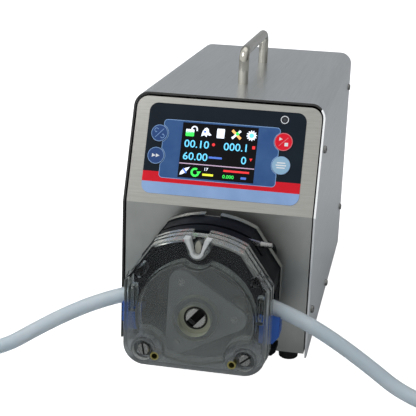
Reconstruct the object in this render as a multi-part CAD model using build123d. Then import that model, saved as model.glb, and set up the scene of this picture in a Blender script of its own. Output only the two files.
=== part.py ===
from build123d import *
import os
from math import cos, pi, radians, sin, tan

# A bench-top peristaltic pump: a sheet-metal drive unit with a tilted keypad and display,
# and a three-roller pump head with a clear front cover and a lever that lifts its bed.
# Millimetres. While modelling, y = 0 is the lower front panel's face, +y runs to the rear,
# x = 0 is the middle and z = 0 is the floor. save() moves the origin to the footprint's middle.

# ---------------------------------------------------------------- driving dimensions
WIDTH = 150.0            # housing, over the side walls
DEPTH = 295.0            # housing cover, front edge to rear edge
SKIRT_Z = 8.0            # the cover's lower edge above the floor
TOP_Z = 203.2            # the cover's top face
KNEE_Z = 122.5           # where the front panel starts to lean back
TILT = 22.5              # lean of the upper panel, degrees from vertical
SHEET = 1.5              # stainless sheet of the cover
BEND_R = 11.0            # outer bend radius of the cover
PROUD = 1.0              # how far the cover's front edge stands in front of the panel
PANEL_T = 2.0            # front and rear panels, base tray
PANEL_HALF = 72.4        # half width of the panels inside the cover
PANEL_CORNER = 9.0
TOP_GAP = 1.7            # between the front panel's upper edge and the cover
FLANGE = 22.0            # depth of the panels' folded side flanges
BASE_Z = 9.5             # underside of the base tray
TRAY_LIP = 14.0          # height of the tray's side lips
REAR_FACE = 293.5        # outer face of the rear panel

HUB_Z = 62.2             # pump shaft axis above the floor
FACE_Y = -80.0           # frontmost face of the pump head
COVER_Y = -79.2          # the clear cover's front wall, outer face
RIM_Y = -58.0            # rear edge of the clear cover's rim
TUBE_Y = -49.0           # middle of the tube's path
LEVER_Y = -43.0          # middle of the lever's slot
PLATE_FRONT = -22.0      # rear plate of the head
PLATE_BACK = -15.0
REAR_END = 300.5         # rearmost point, the jack screws of the control port
MID_Y = (FACE_Y + REAR_END) / 2

# pump head outline, measured from the shaft axis
ARC_TOP = 62.5
ARC_END = (33.5, 54.5)
SHOULDER = (53.5, 26.0)
HEAD_BOTTOM = -40.0
HEAD_CORNER = 17.0

# rotor, tube and bed
PIN_CIRCLE = 27.0        # roller pins from the shaft axis
FIRST_ROLLER = 118.0     # degrees from +x
ROLLER_R = 7.5
PIN_R = 2.5
SHAFT_R = 7.5
RUNNING = 0.05           # radial running clearance
BED_R = 38.8             # occlusion arc
TUBE_OD = 11.2
TUBE_BORE = 6.4
SQUASHED = 3.8           # thickness of the closed tube
TUBE_WIDE = 15.4         # width of the closed tube
ARC_START = 30.0         # the tube follows the bed from here to 180 - here, degrees
EXIT_BEND = 25.0         # radius of the bend that leads the tube out
EXIT_FALL = 18.0         # slope of the tube where it leaves the head, degrees
EXIT_X = 53.0
CAM_V = 52.0             # lever axis above the shaft axis
CAM_E = 3.0              # eccentricity of the cam lobes: the bed lifts twice this
CAM_R = 6.4
SCREW_UV = (37.4, -27.2)     # long head screws
INSERT_UV = (28.5, -30.9)    # threaded inserts
GUIDE_UV = (42.0, 32.0)      # pins that guide the bed

# keypad, in the tilted panel's own x and height above the knee
WINDOW = (-4.65, 43.5, 59.3, 43.0)       # middle x, middle height, width, height
KEYS = {
    "key_direction": (-52.0, 55.0, 6.6),
    "key_prime": (-53.0, 37.3, 6.6),
    "key_start_stop": (45.0, 55.8, 6.9),
    "key_mode": (44.8, 37.6, 7.0),
}
LENS = (44.2, 72.9, 3.3)
OVERLAY = (-0.5, 43.4, 123.0, 71.2)
OVERLAY_T = 0.5

SIDE_SCREWS = [(33.5, 168.0), (15.0, 43.0), (270.0, 174.0), (270.0, 53.0), (150.0, 15.8)]
FEET = [(x, y) for x in (-59.0, 59.0) for y in (17.0, 275.0)]
HANDLE_Y = (94.0, 204.0)
HANDLE_R = 4.2
HANDLE_TOP = TOP_Z + 26.5     # centreline of the grip
HANDLE_BEND = 8.0

LEAN = Plane(
    origin=(0, 0, KNEE_Z),
    x_dir=(1, 0, 0),
    z_dir=(0, -cos(radians(TILT)), sin(radians(TILT))),
)


# ---------------------------------------------------------------- helpers
def slab(sketch, front, back):
    """A sketch in x and z, made solid from y = front to y = back."""
    return extrude(Plane.XZ.offset(-back) * sketch, amount=back - front)


def head_slab(sketch, front, back):
    """The same, with the sketch measured from the pump shaft's axis."""
    return slab(Pos(0, HUB_Z) * sketch, front, back)


def rod(u, v, radius, front, back):
    """A cylinder along y, at (u, v) from the pump shaft's axis."""
    return head_slab(Pos(u, v) * Circle(radius), front, back)


def beam(sketch, left, right):
    """A sketch in y and z, made solid from x = left to x = right."""
    return extrude(Plane.YZ.offset(left) * sketch, amount=right - left)


def deck(sketch, low, high):
    """A sketch in x and y, made solid from z = low to z = high."""
    return extrude(Plane.XY.offset(low) * sketch, amount=high - low)


def on_lean(sketch, low, high):
    """A sketch in the tilted panel's plane, made solid from low to high above its face."""
    return extrude(LEAN.offset(low) * sketch, amount=high - low)


def outline(*points):
    return make_face(Polyline(*points, close=True))


def mirrored(part):
    return mirror(part, about=Plane.YZ)


def pan_screw(head_r, head_h, shank_r, length):
    """A pan-head screw, head upwards on z = 0 and shank down, with a cross recess."""
    head = fillet(Cylinder(head_r, head_h, align=(Align.CENTER,) * 2 + (Align.MIN,))
                  .edges().group_by(Axis.Z)[-1], head_h * 0.6)
    cross = Box(head_r * 1.1, head_r * 0.28, head_h) + Box(head_r * 0.28, head_r * 1.1, head_h)
    shank = Cylinder(shank_r, length, align=(Align.CENTER,) * 2 + (Align.MAX,))
    return head + shank - Pos(0, 0, head_h) * cross


def save(node, *shapes):
    solids = [s.moved(Location((0, -MID_Y, 0))) for shape in shapes for s in shape.solids()]
    export_step(solids[0] if len(solids) == 1 else Compound(solids), f"parts/{node}.step")


# ---------------------------------------------------------------- housing
def housing_cover():
    half = WIDTH / 2
    height = TOP_Z - SKIRT_Z
    outer = Pos(0, SKIRT_Z + height / 2) * Rectangle(WIDTH, height)
    outer = fillet(outer.vertices().group_by(Axis.Y)[-1], BEND_R)
    inner = Pos(0, SKIRT_Z + (height - SHEET) / 2 - 5) * Rectangle(WIDTH - 2 * SHEET, height - SHEET + 10)
    inner = fillet(inner.vertices().group_by(Axis.Y)[-1], BEND_R - SHEET)
    cover = slab(outer, -PROUD, DEPTH) - slab(inner, -PROUD, DEPTH)
    run = (TOP_Z - KNEE_Z) * tan(radians(TILT))
    rise = (-PROUD, KNEE_Z), (-PROUD + run, TOP_Z)
    above = TOP_Z + 10
    ahead = outline(rise[0], (rise[1][0] + 10 * tan(radians(TILT)), above), (-30, above), (-30, KNEE_Z))
    cover -= beam(ahead, -half - 1, half + 1)
    for y, z in SIDE_SCREWS:
        cover -= beam(Pos(y, z) * Circle(1.7), -half - 1, half + 1)
    for y in HANDLE_Y:
        cover -= deck(Pos(0, y) * Circle(2.7), TOP_Z - 4, TOP_Z + 1)
    return cover


def front_panel():
    sin_t, cos_t = sin(radians(TILT)), cos(radians(TILT))
    top = (TOP_Z - SHEET - TOP_GAP - KNEE_Z) / cos_t
    back_knee = KNEE_Z - PANEL_T * tan(radians(TILT / 2))
    back_top = (top * sin_t + PANEL_T * cos_t, KNEE_Z + top * cos_t - PANEL_T * sin_t)
    profile = outline((0, 11.2), (0, KNEE_Z), (top * sin_t, KNEE_Z + top * cos_t), back_top,
                      (PANEL_T, back_knee), (PANEL_T, 11.2))
    panel = beam(profile, -PANEL_HALF, PANEL_HALF)
    through = Axis((0, 0, 0), tuple(LEAN.z_dir))
    panel = fillet(panel.edges().filter_by(through), PANEL_CORNER)
    high = 66.0
    web = outline((1, 14), (1, KNEE_Z), (high * sin_t + 1, KNEE_Z + high * cos_t),
                  (high * sin_t + FLANGE, KNEE_Z + high * cos_t), (FLANGE + 1, KNEE_Z - 6), (FLANGE + 1, 14))
    for y, z in SIDE_SCREWS[:2]:
        web -= Pos(y, z) * Circle(1.55)
    flange = beam(web, PANEL_HALF - SHEET, PANEL_HALF)
    panel += flange
    panel += mirrored(flange)
    x, s, w, h = WINDOW
    panel -= on_lean(Pos(x, s) * Rectangle(w + 0.4, h + 0.4), -10, 5)
    panel -= on_lean(Pos(LENS[0], LENS[1]) * Circle(2.0), -10, 5)
    panel -= rod(0, 0, 20.0, -5, 5)
    for u, v in PLATE_SCREWS:
        panel -= rod(u, v, 2.1, -5, 5)
    return panel


def base_tray():
    tray = deck(Pos(0, (3 + 290) / 2) * Rectangle(2 * PANEL_HALF, 287), BASE_Z, BASE_Z + PANEL_T)
    lip = beam(outline((25, BASE_Z), (258, BASE_Z), (258, BASE_Z + TRAY_LIP), (25, BASE_Z + TRAY_LIP))
               - Pos(*SIDE_SCREWS[4]) * Circle(1.55), PANEL_HALF - SHEET, PANEL_HALF)
    tray += lip
    tray += mirrored(lip)
    for x, y in FEET:
        tray -= deck(Pos(x, y) * Circle(2.1), 5, 15)
    for x, y in SUPPLY_SCREWS + DRIVER_SCREWS:
        tray -= deck(Pos(x, y) * Circle(1.55), 5, 15)
    return tray


VENT_ROWS = (104.0, 178.0)   # cool air comes in low and leaves high


def rear_panel():
    low, high = 12.2, TOP_Z - SHEET - 1.1
    face = Pos(0, (low + high) / 2) * Rectangle(2 * PANEL_HALF, high - low)
    face = fillet(face.vertices().group_by(Axis.Y)[-1], PANEL_CORNER)
    for z in VENT_ROWS:
        for i in range(13):
            face -= Pos((i - 6) * 8.0, z) * SlotOverall(20, 2.6, rotation=90)
    face -= Pos(*INLET_XZ) * Rectangle(27.4, 20.4)
    face -= Pos(*SWITCH_XZ) * Rectangle(13.2, 19.2)
    face -= Pos(*PORT_XZ) * Rectangle(27.0, 10.6)
    for side in (-1, 1):
        face -= Pos(PORT_XZ[0] + side * PORT_PITCH / 2, PORT_XZ[1]) * Circle(1.6)
    panel = slab(face, REAR_FACE - PANEL_T, REAR_FACE)
    web = outline((REAR_FACE - 33, 25), (REAR_FACE - 1, 14), (REAR_FACE - 1, 188), (REAR_FACE - 33, 188))
    for y, z in SIDE_SCREWS[2:4]:
        web -= Pos(y, z) * Circle(1.55)
    flange = beam(web, PANEL_HALF - SHEET, PANEL_HALF)
    return panel + flange + mirrored(flange)


def cover_screws():
    screw = pan_screw(3.0, 2.3, 1.5, 6.5)
    right = [Pos(WIDTH / 2, y, z) * Rot(0, 90, 0) * screw for y, z in SIDE_SCREWS]
    return right + [mirrored(s) for s in right]


def carry_handle():
    front, rear = HANDLE_Y
    path = FilletPolyline((0, front, TOP_Z), (0, front, HANDLE_TOP), (0, rear, HANDLE_TOP), (0, rear, TOP_Z),
                          radius=HANDLE_BEND)
    handle = sweep(Plane(origin=(0, front, TOP_Z), z_dir=(0, 0, 1)) * Circle(HANDLE_R), path=path)
    for y in HANDLE_Y:
        handle -= deck(Pos(0, y) * Circle(2.5), TOP_Z - 1, TOP_Z + 13)
    return handle


def handle_screws():
    inner = TOP_Z - SHEET
    screws = []
    for y in HANDLE_Y:
        washer = deck(Pos(0, y) * Circle(6.5), inner - 1.2, inner)
        head = deck(Pos(0, y) * (Circle(4.5) - RegularPolygon(2.3, 6)), inner - 4.7, inner - 1.2)
        shank = deck(Pos(0, y) * Circle(2.48), inner - 1.8, TOP_Z + 11)
        screws.append(washer + head + shank)
    return screws


def rubber_feet():
    feet = []
    for x, y in FEET:
        foot = Pos(x, y, 0) * Cone(7.4, 8.6, BASE_Z, align=(Align.CENTER,) * 2 + (Align.MIN,))
        foot = chamfer(foot.edges().group_by(Axis.Z)[0], 0.8)
        foot -= deck(Pos(x, y) * Circle(4.4), -1, 5.0)
        feet.append(foot - deck(Pos(x, y) * Circle(2.1), 4, 12))
    return feet


def foot_screws():
    screw = Pos(0, 0, 5.0) * Rot(180, 0, 0) * pan_screw(4.0, 2.8, 2.05, 11)
    nut = deck(RegularPolygon(4.0, 6) - Circle(2.05), BASE_Z + PANEL_T, BASE_Z + PANEL_T + 3.2)
    return [Pos(x, y, 0) * part for x, y in FEET for part in (screw + nut,)]


# ---------------------------------------------------------------- keypad and display
def membrane_overlay():
    x, s, w, h = OVERLAY
    sheet = Pos(x, s) * RectangleRounded(w, h, 7.0)
    sheet -= Pos(WINDOW[0], WINDOW[1]) * Rectangle(WINDOW[2], WINDOW[3])
    for kx, ks, r in KEYS.values():
        sheet -= Pos(kx, ks) * Circle(r + 0.15)
    sheet -= Pos(LENS[0], LENS[1]) * Circle(LENS[2] + 0.05)
    return on_lean(sheet, 0, OVERLAY_T)


def display_window():
    x, s, w, h = WINDOW
    return on_lean(Pos(x, s) * Rectangle(w - 0.3, h - 0.3), -2.3, 0.35)


def display_module():
    x, s, w, h = WINDOW
    frame = on_lean(Pos(x, s) * RectangleRounded(w + 10, h + 8, 1.0), -7.4, -2.3)
    return frame + on_lean(Pos(x, s - 28) * Rectangle(22, 6), -6.4, -5.6)


def key_cap(x, s, r):
    return on_lean(Pos(x, s) * Circle(r), 0.6, 1.3)


def indicator_lens():
    lens = on_lean(Pos(LENS[0], LENS[1]) * Circle(LENS[2]), 0, 0.8)
    return lens + on_lean(Pos(LENS[0], LENS[1]) * Circle(1.9), -3.0, 0)


BOARD_HOLES = [(x, s) for x in (-55.0, 54.0) for s in (14.0, 75.0)]


def control_board():
    board = Pos(-0.5, 44.5) * RectangleRounded(118, 68, 2)
    for x, s in BOARD_HOLES:
        board -= Pos(x, s) * Circle(1.6)
    made = on_lean(board, -15.6, -14.0)
    chips = (-20, 50, 14, 14, 1.6), (14, 52, 20, 8, 2.2), (-20, 22, 30, 6, 6.0), (30, 30, 10, 10, 1.4)
    for x, s, w, h, t in chips:
        made += on_lean(Pos(x, s) * Rectangle(w, h), -15.6 - t, -15.6)
    return made


def board_standoffs():
    pillar = Circle(3.0) - Circle(1.55)
    posts = [on_lean(Pos(x, s) * pillar, -14.0, -PANEL_T) for x, s in BOARD_HOLES]
    floor = BASE_Z + PANEL_T
    posts += [deck(Pos(x, y) * pillar, floor, floor + 6) for x, y in DRIVER_SCREWS]
    return posts


def board_screws():
    screw = pan_screw(2.8, 2.0, 1.5, 7.0)
    behind = LEAN.offset(-15.6).location
    back = [behind * Pos(x, s, 0) * Rot(180, 0, 0) * screw for x, s in BOARD_HOLES]
    floor = BASE_Z + PANEL_T
    base = [Pos(x, y, floor + 7.6) * screw for x, y in DRIVER_SCREWS]
    under = [Pos(x, y, BASE_Z) * Rot(180, 0, 0) * pan_screw(2.8, 1.4, 1.5, 7.0) for x, y in SUPPLY_SCREWS]
    return back + base + under


# ---------------------------------------------------------------- drive and electrics
MOTOR_HALF = 28.5
MOTOR_Y = (10.3, 86.0)
MOTOR_SCREWS = [(x, z) for x in (-23.6, 23.6) for z in (-23.6, 23.6)]
PLATE_SCREWS = [(x, z) for x in (-38.0, 38.0) for z in (-12.0, 30.0)]
SUPPLY = (-6.0, 200.0, 82.0, 98.0)       # middle x, middle y, width, length
SUPPLY_SCREWS = [(SUPPLY[0] + i * 32, SUPPLY[1] + j * 40) for i in (-1, 1) for j in (-1, 1)]
DRIVER_SCREWS = [(x, y) for x in (-40.0, 40.0) for y in (104.0, 138.0)]
INLET_XZ = (40.0, 48.0)
SWITCH_XZ = (8.0, 48.0)
PORT_XZ = (-36.0, 48.0)
PORT_PITCH = 33.3


def drive_motor():
    square = Rectangle(2 * MOTOR_HALF, 2 * MOTOR_HALF)
    flange = fillet(square.vertices(), 5.0)
    stack = chamfer(Rectangle(2 * MOTOR_HALF - 1, 2 * MOTOR_HALF - 1).vertices(), 7.0)
    front, back = MOTOR_Y
    motor = head_slab(flange, front, front + 12) + head_slab(flange, back - 12, back)
    motor += head_slab(stack, front + 12, back - 12)
    motor += rod(0, 0, 12.0, back, back + 14)
    for u, v in MOTOR_SCREWS:
        motor -= rod(u, v, 2.02, front - 1, front + 10)
    return motor - rod(0, 0, 4.0 + RUNNING, front - 1, front + 40)


def motor_bracket():
    front, back = PANEL_T + 0.3, MOTOR_Y[0]
    plate = fillet((Pos(0, 4) * Rectangle(96, 78)).vertices(), 6.0)
    bracket = head_slab(plate, front, back)
    for u, v in MOTOR_SCREWS:
        bracket -= rod(u, v, 2.3, front - 1, back + 1)
        bracket -= rod(u, v, 3.7, front - 1, front + 4.5)
    for u, v in PLATE_SCREWS:
        bracket -= rod(u, v, 2.02, front - 1, back + 1)
    return bracket - rod(0, 0, 14.0, front - 1, back + 1)


def motor_screws():
    front = PANEL_T + 0.3
    head = Circle(3.5) - RegularPolygon(1.7, 6)
    return [head_slab(Pos(u, v) * head, front + 0.4, front + 4.4) + rod(u, v, 2.0, front + 2.4, front + 16)
            for u, v in MOTOR_SCREWS]


def power_supply():
    x, y, w, l = SUPPLY
    floor = BASE_Z + PANEL_T
    case = deck(Pos(x, y) * Rectangle(w, l), floor, floor + 34)
    for i in range(9):
        slot = Pos(x, y - 32 + i * 8) * SlotOverall(w - 24, 3.0)
        case -= deck(slot, floor + 33, floor + 35)
    case -= deck(Pos(x, y - l / 2 + 6) * Rectangle(w - 6, 12.2), floor + 14, floor + 35)
    for i in range(6):
        case += deck(Pos(x - 28 + i * 11.2, y - l / 2 + 5.5) * Rectangle(9, 9), floor + 13, floor + 22)
    for sx, sy in SUPPLY_SCREWS:
        case -= deck(Pos(sx, sy) * Circle(1.55), floor - 1, floor + 6)
    return case


def driver_board():
    floor = BASE_Z + PANEL_T + 6
    board = Pos(0, 121) * RectangleRounded(92, 46, 2)
    for x, y in DRIVER_SCREWS:
        board -= Pos(x, y) * Circle(1.6)
    made = deck(board, floor, floor + 1.6)
    for x in (-24, -10):
        made += deck(Pos(x, 128) * Circle(5.0), floor + 1.6, floor + 16)
    made += deck(Pos(16, 124) * Rectangle(26, 14), floor + 1.6, floor + 12)
    return made + deck(Pos(0, 104) * Rectangle(44, 7), floor + 1.6, floor + 9)


def mains_inlet():
    x, z = INLET_XZ
    flange = fillet((Pos(x, z) * Rectangle(31, 24.5)).vertices(), 2.5)
    shell = slab(flange, REAR_FACE, REAR_FACE + 2.4)
    shell += slab(Pos(x, z) * Rectangle(27, 20), REAR_FACE - 18, REAR_FACE)
    mouth = Pos(x, z) * Rectangle(24.2, 16.6)
    mouth = chamfer(mouth.vertices().group_by(Axis.Y)[-1], 4.5)
    return shell - slab(mouth, REAR_FACE - 15.5, REAR_FACE + 3)


def inlet_pins():
    x, z = INLET_XZ
    pins = []
    for dx, dz in ((-7.0, -2.4), (7.0, -2.4), (0.0, 2.2)):
        blade = Pos(x + dx, z + dz) * Rectangle(2.0, 4.0)
        pins.append(slab(blade, REAR_FACE - 15.5, REAR_FACE - 4.0))
        pins.append(slab(blade, REAR_FACE - 24, REAR_FACE - 18))
    return pins


ROCKER_HALF = 7.4
ROCKER_W = 9.0
ROCKER_REST = 9.0        # tilt of the rocker while the pump is on, degrees
ROCKER_AXIS = (REAR_FACE + 0.6, SWITCH_XZ[1])


def switch_frame():
    x, z = SWITCH_XZ
    bezel = fillet((Pos(x, z) * Rectangle(15.5, 21.5)).vertices(), 1.5)
    frame = slab(bezel, REAR_FACE, REAR_FACE + 1.8)
    frame += slab(Pos(x, z) * Rectangle(13, 19), REAR_FACE - 13, REAR_FACE)
    frame -= slab(Pos(x, z) * Rectangle(ROCKER_W + 0.6, 2 * ROCKER_HALF + 2.0), REAR_FACE - 8, REAR_FACE + 3)
    return frame - beam(Pos(*ROCKER_AXIS) * Circle(1.0 + RUNNING), x - 5.6, x + 5.6)


def power_rocker():
    x = SWITCH_XZ[0]
    end = ROCKER_HALF
    profile = outline((-3.0, -end), (1.6, -end), (0.6, 0), (1.6, end), (-3.0, end))
    placed = Pos(*ROCKER_AXIS) * Rot(0, 0, ROCKER_REST) * profile
    rocker = beam(placed, x - ROCKER_W / 2, x + ROCKER_W / 2)
    return rocker + beam(Pos(*ROCKER_AXIS) * Circle(1.0), x - 5.4, x + 5.4)


def d_shape(x, z, w, h, r):
    lean = h * tan(radians(10)) / 2
    shape = outline((x - w / 2 - lean, z + h / 2), (x + w / 2 + lean, z + h / 2),
                    (x + w / 2 - lean, z - h / 2), (x - w / 2 + lean, z - h / 2))
    return fillet(shape.vertices(), r)


def control_port():
    x, z = PORT_XZ
    face = fillet((Pos(x, z) * Rectangle(39.4, 12.4)).vertices(), 1.5)
    flange = slab(face, REAR_FACE, REAR_FACE + 1.0)
    flange += slab(Pos(x, z) * Rectangle(26, 10), REAR_FACE - 10, REAR_FACE)
    shell = slab(d_shape(x, z, 24.0, 8.0, 2.0), REAR_FACE + 1.0, REAR_FACE + 6.4)
    for i in range(15):
        pole = Pos(x - 9.6 + 1.37 * i, z + 1.4 - 2.8 * (i % 2)) * Circle(0.5)
        shell -= slab(pole, REAR_FACE + 3, REAR_FACE + 7)
    for side in (-1, 1):
        flange -= slab(Pos(x + side * PORT_PITCH / 2, z) * Circle(1.55), REAR_FACE - 1, REAR_FACE + 2)
    jacks = []
    for side in (-1, 1):
        px = x + side * PORT_PITCH / 2
        jack = slab(Pos(px, z) * RegularPolygon(2.6, 6), REAR_FACE + 1.0, REAR_END)
        jack += slab(Pos(px, z) * Circle(1.5), REAR_FACE - 5, REAR_FACE + 1.0)
        jacks.append(jack - slab(Pos(px, z) * Circle(1.2), REAR_FACE + 2, REAR_END + 1))
    return [flange + shell] + jacks


# ---------------------------------------------------------------- pump head, fixed pieces
def head_outline(inset=0.0):
    (a, b), (c, d) = ARC_END, SHOULDER
    arch = ThreePointArc((-a, b), (0, ARC_TOP), (a, b))
    rest = Polyline((a, b), (c, d), (c, HEAD_BOTTOM), (-c, HEAD_BOTTOM), (-c, d), (-a, b))
    shape = make_face(arch + rest)
    shape = fillet(shape.vertices().group_by(Axis.Y)[0], HEAD_CORNER)
    return offset(shape, -inset, kind=Kind.INTERSECTION) if inset else shape


def both(u, v, sketch):
    """A sketch placed at (u, v) and at (-u, v)."""
    return Pos(u, v) * sketch + Pos(-u, v) * sketch


def mounting_plate():
    plate = head_slab(fillet((Pos(0, 0) * Rectangle(94, 78)).vertices(), 8.0), -6.0, 0.0)
    plate += rod(0, 0, 26.0, PLATE_BACK, -6.0)
    plate += head_slab(both(*SCREW_UV, Circle(7.0)), PLATE_BACK, -6.0)
    for side in (-1, 1):
        plate -= rod(side * SCREW_UV[0], SCREW_UV[1], 2.52, PLATE_BACK - 1, -1.0)
    for u, v in PLATE_SCREWS:
        plate -= rod(u, v, 2.3, -7, 1)
        plate -= rod(u, v, 4.2, -7, -2.5)
    return plate - rod(0, 0, 12.0, PLATE_BACK - 1, 1)


def mounting_plate_screws():
    screws = []
    for u, v in PLATE_SCREWS:
        head = Circle(4.0) - RegularPolygon(1.9, 6)
        screws.append(head_slab(Pos(u, v) * head, -5.9, -2.5) + rod(u, v, 2.0, -3.4, 9.5))
    return screws


def head_rear_plate():
    low = Pos(0, HEAD_BOTTOM / 2) * Rectangle(98, -HEAD_BOTTOM)
    high = Pos(0, 50) * Rectangle(120, 100)
    plate = head_outline() & (low + high)
    plate -= Pos(0, ARC_TOP) * Rectangle(11.8, 6.0)
    plate -= both(*SCREW_UV, Circle(2.6)) + both(*GUIDE_UV, Circle(2.02))
    plate -= Pos(0, CAM_V) * Circle(3.0 + RUNNING)
    made = head_slab(plate, PLATE_FRONT, PLATE_BACK)
    made -= rod(0, 0, 12.02, PLATE_FRONT - 1, PLATE_FRONT + 5)
    return made - rod(0, 0, 10.0, PLATE_FRONT, PLATE_BACK + 1)


STEP_Y = -42.0           # the body is cut back in front of here for the tube and retainers
SHELF_V = -24.0          # top of the shelf under each retainer's spring
SHELF_T = 6.0
GROOVE_X = 49.0
TONGUE_W = 4.0


def head_body():
    """The black lower body: a cradle for the rotor, with a ledge for each tube retainer."""
    low = HEAD_BOTTOM + 1.0
    chamber = Circle(37.0) + Pos(0, 30) * Rectangle(74.0, 60)
    inner = Pos(0, (low - 6.0) / 2) * Rectangle(87, -6.0 - low)
    outer = Pos(0, (low + 13.5) / 2) * Rectangle(105.4, 13.5 - low)
    outer = fillet(outer.vertices().group_by(Axis.Y)[0], HEAD_CORNER - 1.0)
    shelf = Pos(0, SHELF_V - SHELF_T / 2) * Rectangle(2 * 57.0, SHELF_T)
    shelf = chamfer(shelf.vertices().group_by(Axis.Y)[0], 3.0)
    body = head_slab(inner - chamber, RIM_Y, STEP_Y) + head_slab(outer - chamber, STEP_Y, PLATE_FRONT)
    body += head_slab(shelf - chamber - Rectangle(80, 80), RIM_Y + 0.6, STEP_Y)
    body -= head_slab(both(*SCREW_UV, Circle(2.6)), RIM_Y - 1, PLATE_FRONT + 1)
    for side in (-1, 1):
        groove = Pos(side * GROOVE_X, 0) * Rectangle(TONGUE_W + 0.6, 80)
        body -= head_slab(groove & Pos(0, SHELF_V + 40) * Rectangle(120, 80), STEP_Y - 1, STEP_Y + 3.5)
    return body


def brass_inserts():
    ring = Circle(3.15) - Circle(2.1)
    return [head_slab(Pos(side * INSERT_UV[0], INSERT_UV[1]) * ring, COVER_Y, -70.0) for side in (-1, 1)]


def head_screws():
    screws = []
    for side, slot_angle in ((-1, 100.0), (1, 40.0)):
        u, v = side * SCREW_UV[0], SCREW_UV[1]
        head = rod(u, v, 4.4, -77.6, -74.6)
        head = chamfer(head.edges().group_by(Axis.Y)[0], 0.5)
        slot = Pos(u, v) * Rot(0, 0, slot_angle) * Rectangle(10, 1.3)
        screw = head - head_slab(slot, -79, -76.2)
        screws.append(screw + rod(u, v, 2.5, -75, -3.0))
    return screws


def bearing(front, back, outer_r):
    """A small ball bearing: two races, a shield each side and nothing loose."""
    inner_r = SHAFT_R + RUNNING
    races = (Circle(outer_r) - Circle(outer_r - 1.3)) + (Circle(inner_r + 1.2) - Circle(inner_r))
    shield = Circle(outer_r) - Circle(inner_r)
    return head_slab(races, front, back) + head_slab(shield, front + 0.5, back - 0.5)


def guide_pins():
    return [rod(side * GUIDE_UV[0], GUIDE_UV[1], 2.0, -70.0, PLATE_BACK) for side in (-1, 1)]


def chamber_outline():
    """The rotor's window in the clear cover, bitten into by the screws and the lever's pocket."""
    window = Circle(44.0) & Pos(0, 25) * Circle(60.0)
    window -= both(SCREW_UV[0], SCREW_UV[1], Circle(14.0))
    return window - Pos(0, CAM_V) * Circle(13.4)


def pocket_outline():
    """The tapered pocket at the top of the clear cover, round about the lever's axis."""
    r = 5.2
    high, low = ARC_TOP + 3, CAM_V - 1.3
    sides = outline((-10.2, high), (10.2, high), (r - 0.2, low), (-r + 0.2, low))
    return sides + Pos(0, CAM_V) * Circle(r)


def head_front_cover():
    wall_back = COVER_Y + 3.4
    shell = head_slab(head_outline(1.2), COVER_Y, -70.0)
    shell = fillet(shell.edges().group_by(Axis.Y)[0], 1.4)
    shell += head_slab(head_outline(0.6), -70.0, -63.0) + head_slab(head_outline(), -63.0, RIM_Y)
    shell -= head_slab(head_outline(3.8), wall_back, RIM_Y + 1)
    window = chamber_outline()
    shell += head_slab(offset(window, -0.6), FACE_Y, COVER_Y)
    rib = window - offset(window, -1.8)
    shell += head_slab(rib, wall_back, -66.8)
    shell += rod(0, 0, 16.6, FACE_Y, -68.7)
    bosses = both(*SCREW_UV, Circle(9.5)) & head_outline(1.2)
    shell += head_slab(bosses, COVER_Y, RIM_Y)
    shell += head_slab(both(*INSERT_UV, Circle(5.4)), COVER_Y, -68.5)
    shell += head_slab(both(*GUIDE_UV, Circle(4.2)), wall_back, -62.0)
    pocket = pocket_outline()
    shell += head_slab(offset(pocket, 1.8) & head_outline(1.2), COVER_Y, -69.0)
    shell += rod(0, CAM_V, 7.4, -69.0, -60.0)
    shell -= head_slab(pocket, FACE_Y - 1, -71.2)
    shell -= rod(0, CAM_V, 4.5 + RUNNING, -69.5, RIM_Y)
    shell -= head_slab(Pos(0, ARC_TOP) * Rectangle(12.0, 6.0), -66.0, RIM_Y + 1)
    for side in (-1, 1):
        loop = Rectangle(5.0, 20.0) - Rectangle(2.2, 15.0)
        shell += head_slab(Pos(side * 46.6, 11) * loop, wall_back, -68.0)
    shell -= head_slab(both(*SCREW_UV, Circle(7.75)), FACE_Y - 1, -74.6)
    shell -= head_slab(both(*SCREW_UV, Circle(2.6)), FACE_Y, RIM_Y + 1)
    shell -= head_slab(both(*INSERT_UV, Circle(3.15)), FACE_Y - 1, -70.0)
    shell -= head_slab(both(*GUIDE_UV, Circle(2.02)), -70.0, -60)
    shell -= rod(0, 0, 12.02, FACE_Y - 1, -69.5)
    return shell - rod(0, 0, 10.5, FACE_Y - 1, -60)


# ---------------------------------------------------------------- rotor
def roller_spots():
    for i in range(3):
        angle = radians(FIRST_ROLLER + 120 * i)
        yield PIN_CIRCLE * cos(angle), PIN_CIRCLE * sin(angle)


def roller(u, v):
    made = rod(u, v, ROLLER_R, TUBE_Y - 12.3, TUBE_Y + 12.3)
    made = chamfer(made.edges().group_by(Axis.Y)[0] + made.edges().group_by(Axis.Y)[-1], 0.6)
    return made - rod(u, v, PIN_R + RUNNING, -70, -30)


def rotor_plate(front, back, boss_front, boss_back):
    """A three-cornered plate that carries the roller pins round a hub."""
    corners = [Pos(u, v) * Circle(9.0) for u, v in roller_spots()]
    plate = make_hull([edge for corner in corners for edge in corner.edges()])
    made = head_slab(plate, front, back) + rod(0, 0, 14.5, boss_front, boss_back)
    for u, v in roller_spots():
        made -= rod(u, v, PIN_R + 0.02, front - 1, back + 1)
    return made - rod(0, 0, SHAFT_R + 0.02, boss_front - 1, boss_back + 1)


def roller_pins():
    return [rod(u, v, PIN_R, -66.8, -32.2) for u, v in roller_spots()]


def rotor_shaft():
    shaft = rod(0, 0, SHAFT_R, -74.0, -12.0)
    shaft = chamfer(shaft.edges().group_by(Axis.Y)[0], 0.5)
    shaft -= head_slab(Rot(0, 0, 49) * Rectangle(20, 6.3), -75, -64.0)
    return shaft - head_slab(Rot(0, 0, 49) * Rectangle(20, 6.3), -17.0, -11)


def drive_coupling():
    hub = rod(0, 0, 9.5, -11.6, 3.5)
    tang = head_slab((Rot(0, 0, 49) * Rectangle(20, 6.2)) & Circle(7.4), -16.6, -11.6)
    return hub + tang - rod(0, 0, 4.02, -9, 5)


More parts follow.
